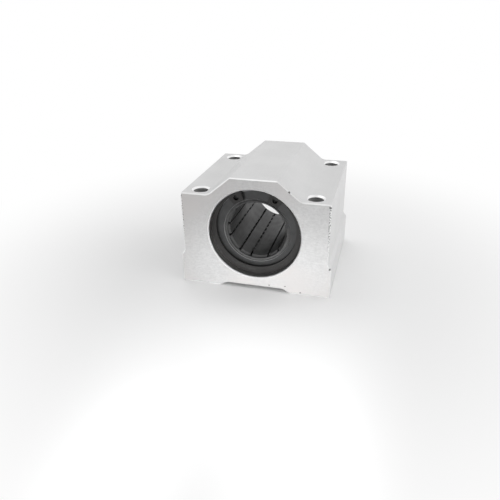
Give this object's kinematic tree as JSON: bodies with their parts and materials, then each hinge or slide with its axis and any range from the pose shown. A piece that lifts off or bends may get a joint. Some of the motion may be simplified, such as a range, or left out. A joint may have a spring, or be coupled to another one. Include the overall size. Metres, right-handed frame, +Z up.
{
  "type": "linear bearing block",
  "caption": "Aluminium block with a sealed recirculating ball bushing; it slides along a round shaft and bolts to a carriage by its flat base.",
  "frame": {"origin": "centre of the base, on the plane that the block stands on", "axes": "+Y along the shaft bore, from the front end to the rear end; +X across the block; +Z up, away from the base"},
  "size_m": [0.054, 0.05, 0.041],
  "materials": {
    "housing_aluminium": "satin clear-anodised extrusion with milled ends",
    "bearing_steel": "ground bearing steel, thinly oiled",
    "cage_resin": "dark grey moulded resin, slight sheen",
    "ball_steel": "polished bearing balls",
    "end_ring_steel": "blackened stamped steel",
    "seal_rubber": "moulded nitrile rubber",
    "circlip_steel": "black phosphated spring steel, oiled"
  },
  "bodies": {
    "root": {"housing": "housing_aluminium", "bushing_sleeve": "bearing_steel", "ball_cage": "cage_resin", "ball_circuit_1": "ball_steel", "ball_circuit_2": "ball_steel", "ball_circuit_3": "ball_steel", "ball_circuit_4": "ball_steel", "ball_circuit_5": "ball_steel", "ball_circuit_6": "ball_steel", "end_ring_front": "end_ring_steel", "seal_front": "seal_rubber", "circlip_front": "circlip_steel", "end_ring_rear": "end_ring_steel", "seal_rear": "seal_rubber", "circlip_rear": "circlip_steel"}
  },
  "joints": []
}
